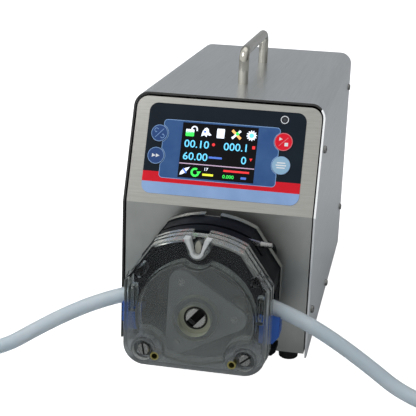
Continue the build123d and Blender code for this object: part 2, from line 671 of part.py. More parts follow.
# ---------------------------------------------------------------- bed, cam and lever
SLOT_FLOOR = 41.0        # the lever's slot reaches down to here in the bed
LIP_R = 35.2             # the bed's front wall reaches in to here, past the tube
LIP_V = 2.4              # and down to here beside it
LIP_T = 0.8


def occlusion_bed():
    body = head_outline(1.0) & Pos(0, 14.5 + 50) * Rectangle(120, 100)
    foot_u, foot_v = BED_R * cos(radians(ARC_START)), BED_R * sin(radians(ARC_START))
    arc = ThreePointArc((foot_u, foot_v), (0, BED_R), (-foot_u, foot_v))
    legs = Polyline((-foot_u, foot_v), (-41, 14), (41, 14), (foot_u, foot_v))
    body -= make_face(arc + legs)
    wall = (head_outline(1.0) & Pos(0, LIP_V + 50) * Rectangle(120, 100)) - Circle(LIP_R)
    rise = 2 * CAM_E
    yoke_half = CAM_R + 1.0
    slot = Pos(0, -rise / 2) * SlotOverall(rise + 2 * 2.35, 2 * 2.35, rotation=90)
    holes = Pos(0, CAM_V - CAM_E) * Rectangle(2 * (CAM_R + CAM_E) + 3, 2 * yoke_half) + both(*GUIDE_UV, slot)
    made = head_slab(body - holes, RIM_Y + 0.3, PLATE_FRONT - 0.3)
    made += head_slab(wall - holes, RIM_Y + 0.3, RIM_Y + 0.3 + LIP_T)
    gap = Pos(0, SLOT_FLOOR + 20) * Rectangle(120, 40)
    return made - head_slab(gap, LEVER_Y - 2.0, LEVER_Y + 2.0)


def cam_shaft():
    """Journals at both ends, and a lobe on each side of the lever that carries the bed."""
    shaft = rod(0, CAM_V, 3.0, -60.0, PLATE_BACK - 0.2) + rod(0, CAM_V, 4.5, -69.2, -59.0)
    for front, back in ((-56.8, LEVER_Y - 2.6), (LEVER_Y + 2.6, -23.2)):
        shaft += rod(0, CAM_V - CAM_E, CAM_R, front, back)
    return shaft + rod(0, CAM_V, 3.5, LEVER_Y - 1.5, LEVER_Y + 1.5)


KNOB_U = (39.6, 49.0)
KNOB_V = CAM_V - 2.0


def release_lever():
    end = KNOB_U[0] + 4
    arm = outline((0, CAM_V + 2.9), (24, CAM_V + 3.0), (31, CAM_V + 1.7), (end, KNOB_V + 0.9),
                  (end, KNOB_V - 0.9), (31, KNOB_V - 0.4), (24, CAM_V - 2.6), (0, CAM_V - 2.9))
    made = head_slab(arm + Pos(0, CAM_V) * Circle(4.6), LEVER_Y - 1.5, LEVER_Y + 1.5)
    return made - rod(0, CAM_V, 3.52, LEVER_Y - 3, LEVER_Y + 3)


def lever_knob():
    inner, outer = KNOB_U
    profile = outline((inner, 0), (inner, 2.0), (inner + 0.7, 2.45),
                      (outer - 0.6, 1.8), (outer, 1.3), (outer, 0))
    knob = revolve(Plane.XY * profile, Axis.X)
    knob = Pos(0, LEVER_Y, HUB_Z + KNOB_V) * knob
    return knob - release_lever()


# ---------------------------------------------------------------- tube and its retainers
def exit_point(turn):
    """Centre of the tube on the bend that leads it out, after turning by that many degrees."""
    middle = BED_R - 0.25 - SQUASHED / 2
    steep = 90 - ARC_START
    start = middle * cos(radians(ARC_START)), middle * sin(radians(ARC_START))
    now = steep - turn
    u = start[0] + EXIT_BEND * (sin(radians(steep)) - sin(radians(now)))
    v = start[1] - EXIT_BEND * (cos(radians(now)) - cos(radians(steep)))
    return u, v, now


def exit_end():
    u, v, fall = exit_point(90 - ARC_START - EXIT_FALL)
    return EXIT_X, v - (EXIT_X - u) * tan(radians(fall))


def oval(u, v, fall, share):
    """The tube's section there: flat at share 0, round at share 1."""
    ease = share * share * (3 - 2 * share)
    high = SQUASHED / 2 + (TUBE_OD - SQUASHED) / 2 * ease
    wide = TUBE_WIDE / 2 + (TUBE_OD - TUBE_WIDE) / 2 * ease
    plane = Plane(origin=(u, TUBE_Y, HUB_Z + v), x_dir=(0, 1, 0),
                  z_dir=(cos(radians(fall)), 0, -sin(radians(fall))))
    return plane * Ellipse(wide, high)


def pump_tube():
    """The tube inside the head, pressed flat under the bed and round where it leaves."""
    middle = BED_R - 0.25 - SQUASHED / 2
    start = oval(middle * cos(radians(ARC_START)), middle * sin(radians(ARC_START)), 90 - ARC_START, 0)
    hub_axis = Axis((0, 0, HUB_Z), (0, -1, 0))
    arch = revolve(start, hub_axis, 180 - 2 * ARC_START)
    total = 90 - ARC_START - EXIT_FALL
    steps = 6
    sections = []
    for i in range(steps + 1):
        u, v, fall = exit_point(total * i / steps)
        sections.append(oval(u, v, fall, i / steps))
    end_u, end_v = exit_end()
    tail = extrude(sections[-1], amount=(end_u - exit_point(total)[0]) / cos(radians(EXIT_FALL)))
    side = loft(Sketch() + sections) + tail
    bore = Plane(origin=(end_u, TUBE_Y, HUB_Z + end_v), x_dir=(0, 1, 0),
                 z_dir=(-cos(radians(EXIT_FALL)), 0, sin(radians(EXIT_FALL))))
    side -= extrude(bore * Circle(TUBE_BORE / 2), amount=6.0)
    return arch + side + mirrored(side)


def tail_points(side):
    """The free tube: points of its route from the head's side down onto the floor."""
    end_u, end_v = exit_end()
    lie = TUBE_OD / 2 + 0.15
    start = (end_u, TUBE_Y, HUB_Z + end_v)
    reach = end_u + 23.0
    first = (side * reach, TUBE_Y, start[2] - 23.0 * tan(radians(EXIT_FALL)))
    if side > 0:
        return [start, first, (115.0, -50.0, 37.0), (161.0, -55.0, lie), (202.0, -66.0, lie)]
    start = (-end_u, TUBE_Y, start[2])
    return [start, first, (-116.0, -50.5, 38.0), (-164.0, -57.0, lie), (-207.0, -70.0, lie)]


def tube_tail(side):
    points = [Vector(*p) for p in tail_points(side)]
    radii = []
    for before, here, after in zip(points, points[1:], points[2:]):
        turn = (here - before).get_angle(after - here)
        shorter = min((here - before).length, (after - here).length)
        radii.append(0.45 * shorter / tan(radians(turn / 2)))
    print("tail bend radii", [round(r) for r in radii])
    path = FilletPolyline(*points, radius=radii)
    section = Plane(origin=points[0], z_dir=points[1] - points[0])
    outer = sweep(section * Circle(TUBE_OD / 2), path=path)
    inner = sweep(section * Circle(TUBE_BORE / 2), path=path)
    tail = outer - inner
    ring = pi * (TUBE_OD ** 2 - TUBE_BORE ** 2) / 4
    print("tail length", round(path.length, 1), "volume share", round(tail.volume / (ring * path.length), 4))
    return tail


RETAINER_X = (44.2, 59.0)
RETAINER_V = (-20.6, 1.6)
RETAINER_Y = (-57.2, STEP_Y - 0.5)
SPRING_XY = (50.6, -50.0)
SPRING_TOP = -12.0


def tube_retainer():
    """A sprung saddle that holds the tube up against the bed's foot, right-hand side."""
    (left, right), (low, high) = RETAINER_X, RETAINER_V
    side_view = outline((left, low), (right - 4.5, low), (right, low + 6), (right, high - 2), (left, high))
    front, back = RETAINER_Y
    block = head_slab(side_view, front, back)
    tongue = head_slab(Pos(GROOVE_X, (low - 4) / 2) * Rectangle(TONGUE_W, -low - 4), back, STEP_Y + 3.2)
    block -= deck(Pos(*SPRING_XY) * Circle(4.2), HUB_Z + low - 1, HUB_Z + SPRING_TOP)
    end_u, end_v = exit_end()
    along = Plane(origin=(end_u, TUBE_Y, HUB_Z + end_v), x_dir=(0, 1, 0),
                  z_dir=(cos(radians(EXIT_FALL)), 0, -sin(radians(EXIT_FALL))))
    saddle = extrude(along * Circle(TUBE_OD / 2 + 0.35), amount=25, both=True)
    for i in range(4):
        rib = Pos(right, low + 9 + i * 3.0) * Rectangle(1.2, 1.2)
        block -= head_slab(rib, front - 1, back + 1)
    return block + tongue - saddle


def retainer_spring():
    wire = 0.45
    height = SPRING_TOP - SHELF_V - 2 * wire
    coil = Helix(pitch=height / 5, height=height, radius=3.2)
    start = coil @ 0
    spring = sweep(Plane(origin=start, z_dir=coil % 0) * Circle(wire), path=coil, is_frenet=True)
    return Pos(*SPRING_XY, HUB_Z + SHELF_V + wire) * spring


# ---------------------------------------------------------------- build
def main():
    os.makedirs("parts", exist_ok=True)
    save("housing_cover", housing_cover())
    save("front_panel", front_panel())
    save("base_tray", base_tray())
    save("rear_panel", rear_panel())
    save("cover_screws", *cover_screws())
    save("carry_handle", carry_handle())
    save("handle_screws", *handle_screws())
    save("rubber_feet", *rubber_feet())
    save("foot_screws", *foot_screws())
    save("membrane_overlay", membrane_overlay())
    save("display_window", display_window())
    save("display_module", display_module())
    save("indicator_lens", indicator_lens())
    for name, (x, s, r) in KEYS.items():
        save(name, key_cap(x, s, r))
    save("control_board", control_board())
    save("board_standoffs", *board_standoffs())
    save("board_screws", *board_screws())
    save("drive_motor", drive_motor())
    save("motor_bracket", motor_bracket())
    save("motor_screws", *motor_screws())
    save("motor_shaft", rod(0, 0, 4.0, -8.8, 49.0))
    save("power_supply", power_supply())
    save("driver_board", driver_board())
    save("mains_inlet", mains_inlet())
    save("mains_inlet_pins", *inlet_pins())
    save("switch_frame", switch_frame())
    save("power_rocker", power_rocker())
    save("control_port", *control_port())
    save("mounting_plate", mounting_plate())
    save("mounting_plate_screws", *mounting_plate_screws())
    save("head_rear_plate", head_rear_plate())
    save("head_body", head_body())
    save("head_front_cover", head_front_cover())
    save("head_screws", *head_screws())
    save("brass_inserts", *brass_inserts())
    save("front_bearing", bearing(-73.5, -69.5, 12.0))
    save("rear_bearing", bearing(PLATE_FRONT, PLATE_FRONT + 5, 12.0))
    save("guide_pins", *guide_pins())
    save("rotor_shaft", rotor_shaft())
    save("rotor_front_plate", rotor_plate(-66.0, -62.0, -68.2, -62.0))
    save("rotor_rear_plate", rotor_plate(-36.2, -32.6, -36.2, -28.0))
    save("roller_pins", *roller_pins())
    save("drive_coupling", drive_coupling())
    for i, spot in enumerate(roller_spots()):
        save(f"roller_{i + 1}", roller(*spot))
    save("occlusion_bed", occlusion_bed())
    save("cam_shaft", cam_shaft())
    save("release_lever", release_lever())
    save("lever_knob", lever_knob())
    right = tube_retainer()
    save("tube_retainer_right", right)
    save("tube_retainer_left", mirrored(right))
    spring = retainer_spring()
    save("retainer_spring_right", spring)
    save("retainer_spring_left", mirrored(spring))
    save("pump_tube", pump_tube())
    save("tube_tail_right", tube_tail(1))
    save("tube_tail_left", tube_tail(-1))


main()
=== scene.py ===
import math

import bmesh
import bpy
from mathutils import Matrix, Vector


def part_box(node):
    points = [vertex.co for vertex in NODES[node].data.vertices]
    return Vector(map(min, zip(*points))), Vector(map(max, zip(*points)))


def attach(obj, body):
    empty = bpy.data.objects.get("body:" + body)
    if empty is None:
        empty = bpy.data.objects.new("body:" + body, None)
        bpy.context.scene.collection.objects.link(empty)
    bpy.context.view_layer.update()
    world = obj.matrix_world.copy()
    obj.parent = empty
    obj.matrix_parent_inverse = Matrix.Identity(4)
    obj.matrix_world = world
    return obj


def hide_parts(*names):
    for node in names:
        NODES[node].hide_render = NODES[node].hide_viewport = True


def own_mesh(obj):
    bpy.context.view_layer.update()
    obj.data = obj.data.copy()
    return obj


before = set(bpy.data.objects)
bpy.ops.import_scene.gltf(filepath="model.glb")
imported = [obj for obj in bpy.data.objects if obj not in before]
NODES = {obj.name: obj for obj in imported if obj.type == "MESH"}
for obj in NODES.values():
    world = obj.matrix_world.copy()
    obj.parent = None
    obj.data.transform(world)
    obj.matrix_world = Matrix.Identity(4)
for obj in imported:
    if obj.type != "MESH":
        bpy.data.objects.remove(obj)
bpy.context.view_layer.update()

MM = 0.001

# Places in the object, in millimetres: x from the middle, y behind the lower front panel, z above the floor.
FRONT_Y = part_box("front_panel")[0].y
HUB_Z = (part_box("front_bearing")[0].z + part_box("front_bearing")[1].z) / 2 / MM
KNEE_Z = 122.5           # the fold between the lower and the tilted panel
TILT = math.radians(22.5)
PRINT = 0.5              # top of the keypad film above the tilted panel
KEY_TOP = 1.3            # top of the keys above the tilted panel
GLASS_TOP = 0.35         # top of the display window above the tilted panel
TUBE_R = 5.6
TUBE_BORE_R = 3.2
TAIL_RIGHT = [(53.0, -49.0, 66.87), (76.0, -49.0, 59.39), (115.0, -50.0, 37.0), (161.0, -55.0, 5.75),
              (202.0, -66.0, 5.75)]
TAIL_LEFT = [(-53.0, -49.0, 66.87), (-76.0, -49.0, 59.39), (-116.0, -50.5, 38.0), (-164.0, -57.0, 5.75),
             (-207.0, -70.0, 5.75)]
KEYS = {
    "key_direction": (-52.0, 55.0, 6.6, "direction_key"),
    "key_prime": (-53.0, 37.3, 6.6, "prime_key"),
    "key_start_stop": (45.0, 55.8, 6.9, "start_stop_key"),
    "key_mode": (44.8, 37.6, 7.0, "mode_key"),
}
LENS = (44.2, 72.9, 3.3)
FILM = (-62.0, 61.0, 7.8, 79.0, 7.0)     # left, right, low, high and corner radius of the keypad film
FIELD = (-49.3, 42.0, 20.4, 66.5, 3.0)   # the same for the blue field printed round the display
WINDOW = (-34.3, 25.0, 22.0, 65.0)       # left, right, low and high edge of the display window
STRIPE = (17.0, 25.0)                    # low and high edge of the red stripe
CAM_V = 52.0             # the lever's axis above the shaft's axis
COVER_FACE_Y = -80.0     # front face of the clear cover
POCKET_Y = (-79.0, -71.4)                # front and floor of the pocket in the clear cover
POCKET_TOP_V = 61.2      # the pocket's open top above the shaft's axis
SHAFT_END_Y = -74.0
SHAFT_R = 7.2            # just inside the shaft's round end
HUB_WALL_R = 16.8        # just outside the wall round the shaft in the clear cover
GUIDE_PIN = (42.0, 32.0)                 # to the side of and above the shaft's axis
PIN_BOSS_R = 7.5
HEAD_SCREW = (37.4, -27.2)               # to the side of and below the shaft's axis
HEAD_SCREW_Y = -77.6     # top of the screw's head
HEAD_SCREW_R = 4.1
SPRING_WIRE_R = 0.45

# The camera was fitted to the corners of the housing.
CAMERA_ANGLES = (10.592, 17.030, 2.183)  # azimuth, elevation and roll in degrees
CAMERA_PLACE = (141.5, -798.3, 371.5)    # as at() takes it
CAMERA_LENS = 95.88                      # for a sensor 36 mm wide


def at(x, y, z):
    """A place in metres from one in millimetres."""
    return Vector((x * MM, FRONT_Y + y * MM, z * MM))


def head(u, y, v):
    """A point of the pump head, with u and v measured from the shaft's axis."""
    return at(u, y, HUB_Z + v)


def facing_front(x, y, z):
    """Local X is right, local Y is up and local Z points out of the front, at that point."""
    return Matrix.Translation(at(x, y, z)) @ Matrix.Rotation(math.radians(90), 4, "X")


def on_keypad(lift):
    """The tilted panel's plane: X right, Y up the slope and Z out of it, that far above the panel."""
    turn = Matrix.Rotation(math.radians(90) - TILT, 4, "X")
    return Matrix.Translation(at(0, 0, KNEE_Z)) @ turn @ Matrix.Translation((0, 0, lift * MM))


def mesh_from(made, name, smooth=None):
    """A mesh from a finished bmesh, shaded smooth up to that many degrees if a number is given."""
    mesh = bpy.data.meshes.new(name)
    made.to_mesh(mesh)
    made.free()
    if smooth is not None:
        mesh.shade_smooth()
        mesh.set_sharp_from_angle(angle=math.radians(smooth))
    return mesh


def curve_mesh(curve):
    """The mesh that a curve or text gives."""
    source = bpy.data.objects.new(curve.name + "_source", curve)
    bpy.context.scene.collection.objects.link(source)
    bpy.context.view_layer.update()
    mesh = bpy.data.meshes.new_from_object(source.evaluated_get(bpy.context.evaluated_depsgraph_get()))
    bpy.data.objects.remove(source)
    return mesh


# ---------------------------------------------------------------- camera, floor and light
def add_camera():
    azimuth, elevation, roll = (math.radians(a) for a in CAMERA_ANGLES)
    forward = Vector((-math.sin(azimuth) * math.cos(elevation),
                      math.cos(azimuth) * math.cos(elevation), -math.sin(elevation)))
    level = Vector((math.cos(azimuth), math.sin(azimuth), 0))
    up = level.cross(forward)
    right = math.cos(roll) * level + math.sin(roll) * up
    top = math.cos(roll) * up - math.sin(roll) * level
    data = bpy.data.cameras.new("camera")
    data.sensor_width = 36.0
    data.lens = CAMERA_LENS
    data.clip_start = 0.05
    data.clip_end = 20
    camera = bpy.data.objects.new("camera", data)
    pose = Matrix((right, top, -forward)).transposed().to_4x4()
    pose.translation = at(*CAMERA_PLACE)
    camera.matrix_world = pose
    bpy.context.scene.collection.objects.link(camera)
    bpy.context.scene.camera = camera


def add_floor():
    """A sheet that curves up behind the object, pure white to the camera and grey in reflections."""
    made = bmesh.new()
    front, back, curve, half_width, height = -4.0, 1.4, 1.2, 5.0, 5.0
    profile = [(front, 0.0), (back, 0.0)]
    for i in range(1, 13):
        turn = math.radians(90) * i / 12
        profile.append((back + curve * math.sin(turn), curve - curve * math.cos(turn)))
    profile.append((back + curve, height))
    gap = 0.0002         # under the feet, so that they don't share a surface with the floor
    rows = [[made.verts.new((x, y, z - gap)) for y, z in profile] for x in (-half_width, half_width)]
    for i in range(len(profile) - 1):
        made.faces.new((rows[0][i], rows[0][i + 1], rows[1][i + 1], rows[1][i]))
    mesh = mesh_from(made, "backdrop", 180)
    backdrop = bpy.data.objects.new("backdrop", mesh)
    bpy.context.scene.collection.objects.link(backdrop)
    paper = Shader("backdrop_paper", Roughness=0.9)
    paper.colour(paper.noise(40, 3), (0.46, 0.47, 0.48), (0.49, 0.50, 0.51))
    paper.surface.inputs["Emission Color"].default_value = (1, 1, 1, 1)
    seen = paper.nodes.new("ShaderNodeLightPath").outputs["Is Camera Ray"]
    paper.links.new(seen, paper.surface.inputs["Emission Strength"])
    mesh.materials.append(paper.material)


def add_light(name, energy, size, place, target):
    data = bpy.data.lights.new(name, "AREA")
    data.shape = "RECTANGLE"
    data.size, data.size_y = size
    data.energy = energy
    light = bpy.data.objects.new(name, data)
    light.location = place
    light.rotation_mode = "QUATERNION"
    light.rotation_quaternion = (Vector(target) - Vector(place)).to_track_quat("-Z", "Y")
    bpy.context.scene.collection.objects.link(light)


def add_lights():
    """A sky that is brighter to the upper left, white to the camera, and two soft lamps."""
    bpy.context.scene.view_settings.view_transform = "Standard"
    world = bpy.data.worlds.new("studio")
    world.use_nodes = True
    nodes, links = world.node_tree.nodes, world.node_tree.links
    facing = nodes.new("ShaderNodeVectorMath")
    facing.operation = "DOT_PRODUCT"
    brightest_way = Vector((-0.62, -0.42, 0.66)).normalized()
    facing.inputs[1].default_value = brightest_way
    links.new(nodes.new("ShaderNodeTexCoord").outputs["Generated"], facing.inputs[0])
    falloff = nodes.new("ShaderNodeMapRange")
    falloff.interpolation_type = "SMOOTHSTEP"
    for socket, value in (("From Min", -0.75), ("From Max", 0.75), ("To Min", 0.12), ("To Max", 0.90)):
        falloff.inputs[socket].default_value = value
    links.new(facing.outputs["Value"], falloff.inputs["Value"])
    brightest = nodes.new("ShaderNodeMath")
    brightest.operation = "MAXIMUM"
    links.new(falloff.outputs["Result"], brightest.inputs[0])
    links.new(nodes.new("ShaderNodeLightPath").outputs["Is Camera Ray"], brightest.inputs[1])
    links.new(brightest.outputs["Value"], nodes["Background"].inputs["Strength"])
    nodes["Background"].inputs["Color"].default_value = (0.97, 0.985, 1.0, 1)
    bpy.context.scene.world = world
    middle = (0, 0, 0.1)
    add_light("key_light", 10, (0.9, 0.9), (-0.9, -1.0, 1.5), middle)
    add_light("top_light", 3, (1.8, 1.2), (0.1, 0.3, 1.7), middle)


# ---------------------------------------------------------------- materials
class Shader:
    """A principled material with noise-driven colour, roughness and bump, in object space."""

    def __init__(self, name, **sockets):
        self.material = bpy.data.materials.new(name)
        self.material.use_nodes = True
        self.nodes = self.material.node_tree.nodes
        self.links = self.material.node_tree.links
        self.surface = self.nodes["Principled BSDF"]
        self.place = self.nodes.new("ShaderNodeTexCoord").outputs["Object"]
        for socket, value in sockets.items():
            self.surface.inputs[socket.replace("_", " ")].default_value = value

    def stretched(self, scale):
        mapping = self.nodes.new("ShaderNodeMapping")
        mapping.inputs["Scale"].default_value = scale
        self.links.new(self.place, mapping.inputs["Vector"])
        return mapping.outputs["Vector"]

    def vector_step(self, operation, vector, other=None):
        """One step of vector arithmetic."""
        made = self.nodes.new("ShaderNodeVectorMath")
        made.operation = operation
        self.links.new(vector, made.inputs[0])
        if other is not None:
            made.inputs[1].default_value = other
        return made.outputs["Value" if operation == "LENGTH" else "Vector"]

    def noise(self, scale, detail=4.0, roughness=0.5, vector=None):
        made = self.nodes.new("ShaderNodeTexNoise")
        made.inputs["Scale"].default_value = scale
        made.inputs["Detail"].default_value = detail
        made.inputs["Roughness"].default_value = roughness
        self.links.new(vector or self.place, made.inputs["Vector"])
        return made.outputs["Fac"]

    def ramp(self, factor, low, high, start=0.3, end=0.7):
        made = self.nodes.new("ShaderNodeMapRange")
        made.inputs["From Min"].default_value = start
        made.inputs["From Max"].default_value = end
        made.inputs["To Min"].default_value = low
        made.inputs["To Max"].default_value = high
        self.links.new(factor, made.inputs["Value"])
        return made.outputs["Result"]

    def blend_values(self, first, second, share=0.5):
        made = self.nodes.new("ShaderNodeMix")
        made.inputs["Factor"].default_value = share
        self.links.new(first, made.inputs["A"])
        self.links.new(second, made.inputs["B"])
        return made.outputs["Result"]

    def colour(self, factor, low, high, start=0.3, end=0.7):
        """Base colour from low to high as factor goes from start to end."""
        made = self.nodes.new("ShaderNodeMix")
        made.data_type = "RGBA"
        self.links.new(self.ramp(factor, 0.0, 1.0, start, end), made.inputs["Factor"])
        first, second, result = made.inputs[6], made.inputs[7], made.outputs[2]     # its colour sockets
        first.default_value, second.default_value = (*low, 1), (*high, 1)
        self.links.new(result, self.surface.inputs["Base Color"])
        return result

    def rough(self, factor, low, high, start=0.3, end=0.7):
        self.links.new(self.ramp(factor, low, high, start, end), self.surface.inputs["Roughness"])

    def bump(self, factor, height):
        made = self.nodes.new("ShaderNodeBump")
        made.inputs["Distance"].default_value = height * MM
        made.inputs["Strength"].default_value = 1.0
        self.links.new(factor, made.inputs["Height"])
        self.links.new(made.outputs["Normal"], self.surface.inputs["Normal"])


def brushed(name, grain, low, high, rough=(0.26, 0.36), depth=0.002):
    """Brushed sheet: fine scratches along one axis, with broad faint smears from handling."""
    made = Shader(name, Metallic=1.0)
    scratches = made.noise(1.0, 3, 0.6, made.stretched(grain))
    smears = made.noise(9, 2)
    share = made.blend_values(scratches, smears, 0.25)
    made.colour(share, low, high)
    made.rough(smears, *rough, 0.1, 0.9)
    made.bump(scratches, depth)
    return made.material


def turned(name, low, high, rough, metallic=1.0, scale=900):
    """Turned, ground or cast metal: an even fine grain."""
    made = Shader(name, Metallic=metallic)
    grain = made.noise(scale, 4, 0.6)
    made.colour(made.noise(60, 4), low, high)
    made.rough(grain, *rough)
    made.bump(grain, 0.01)
    return made.material


def ringed(name, seal_radius):
    """A bearing's front: a dark seal round the shaft and a dull outer race."""
    made = Shader(name, Metallic=0.6)
    from_axis = made.vector_step("SUBTRACT", made.place, head(0, 0, 0))
    radius = made.vector_step("LENGTH", made.vector_step("MULTIPLY", from_axis, (1, 0, 1)))
    made.colour(radius, (0.012, 0.012, 0.012), (0.30, 0.31, 0.24), (seal_radius - 0.2) * MM, (seal_radius + 0.2) * MM)
    made.rough(made.noise(900, 4), 0.3, 0.42)
    made.bump(made.noise(700, 3), 0.01)
    return made.material


def moulded(name, low, high, rough, depth=0.02, **sockets):
    """Moulded plastic or rubber: a fine spark-eroded grain and slight unevenness of colour."""
    made = Shader(name, **sockets)
    grain = made.noise(700, 3, 0.6)
    made.colour(made.noise(45, 4), low, high)
    made.rough(made.noise(90, 3), *rough)
    made.bump(grain, depth)
    return made.material


def clear(name, tint, rough, milk, haze, haze_low=None):
    """Clear moulding with a milky haze, which may be denser towards the head's foot."""
    made = Shader(name, Transmission_Weight=1.0, IOR=1.25)
    made.colour(made.noise(30, 3), tint, tuple(min(1.0, c * 1.04) for c in tint))
    made.rough(made.noise(55, 3), *rough)
    made.bump(made.noise(35, 2), 0.004)
    cloud = made.nodes.new("ShaderNodeBsdfPrincipled")
    cloud.inputs["Roughness"].default_value = 0.35
    cloud.inputs["Base Color"].default_value = (*milk, 1)
    amount = made.ramp(made.noise(18, 3), haze * 0.8, haze * 1.2)
    if haze_low is not None:
        height = made.nodes.new("ShaderNodeSeparateXYZ")
        made.links.new(made.place, height.inputs["Vector"])
        lower = made.ramp(height.outputs["Z"], haze_low, 0.0, (HUB_Z - 24) * MM, (HUB_Z + 2) * MM)
        total = made.nodes.new("ShaderNodeMath")
        made.links.new(amount, total.inputs[0])
        made.links.new(lower, total.inputs[1])
        amount = total.outputs["Value"]
    blend = made.nodes.new("ShaderNodeMixShader")
    made.links.new(amount, blend.inputs["Fac"])
    made.links.new(made.surface.outputs["BSDF"], blend.inputs[1])
    made.links.new(cloud.outputs["BSDF"], blend.inputs[2])
    made.links.new(blend.outputs["Shader"], made.nodes["Material Output"].inputs["Surface"])
    return made.material


def silicone(name):
    """Milky, slightly blue tube rubber."""
    made = Shader(name, Transmission_Weight=0.55, IOR=1.41, Subsurface_Weight=0.25)
    made.surface.inputs["Subsurface Radius"].default_value = (0.004, 0.005, 0.006)
    made.surface.inputs["Subsurface Scale"].default_value = 1.0
    made.colour(made.noise(35, 3), (0.70, 0.80, 0.86), (0.82, 0.89, 0.94))
    made.rough(made.noise(120, 3), 0.28, 0.42)
    made.bump(made.noise(500, 3), 0.015)
    return made.material


def glowing(name, colour, strength):
    """A patch of a lit display: its colour, with the faint unevenness of the backlight."""
    made = Shader(name, Roughness=0.35, Emission_Strength=strength)
    lit = made.colour(made.noise(70, 2), tuple(c * 0.9 for c in colour), colour)
    made.links.new(lit, made.surface.inputs["Emission Color"])
    return made.material


def printed(name, low, high, rough=(0.28, 0.38)):
    """Ink under a polyester film."""
    made = Shader(name, IOR=1.22)
    made.colour(made.noise(60, 4), low, high)
    made.rough(made.noise(160, 3), *rough)
    made.bump(made.noise(650, 3), 0.006)
    return made.material


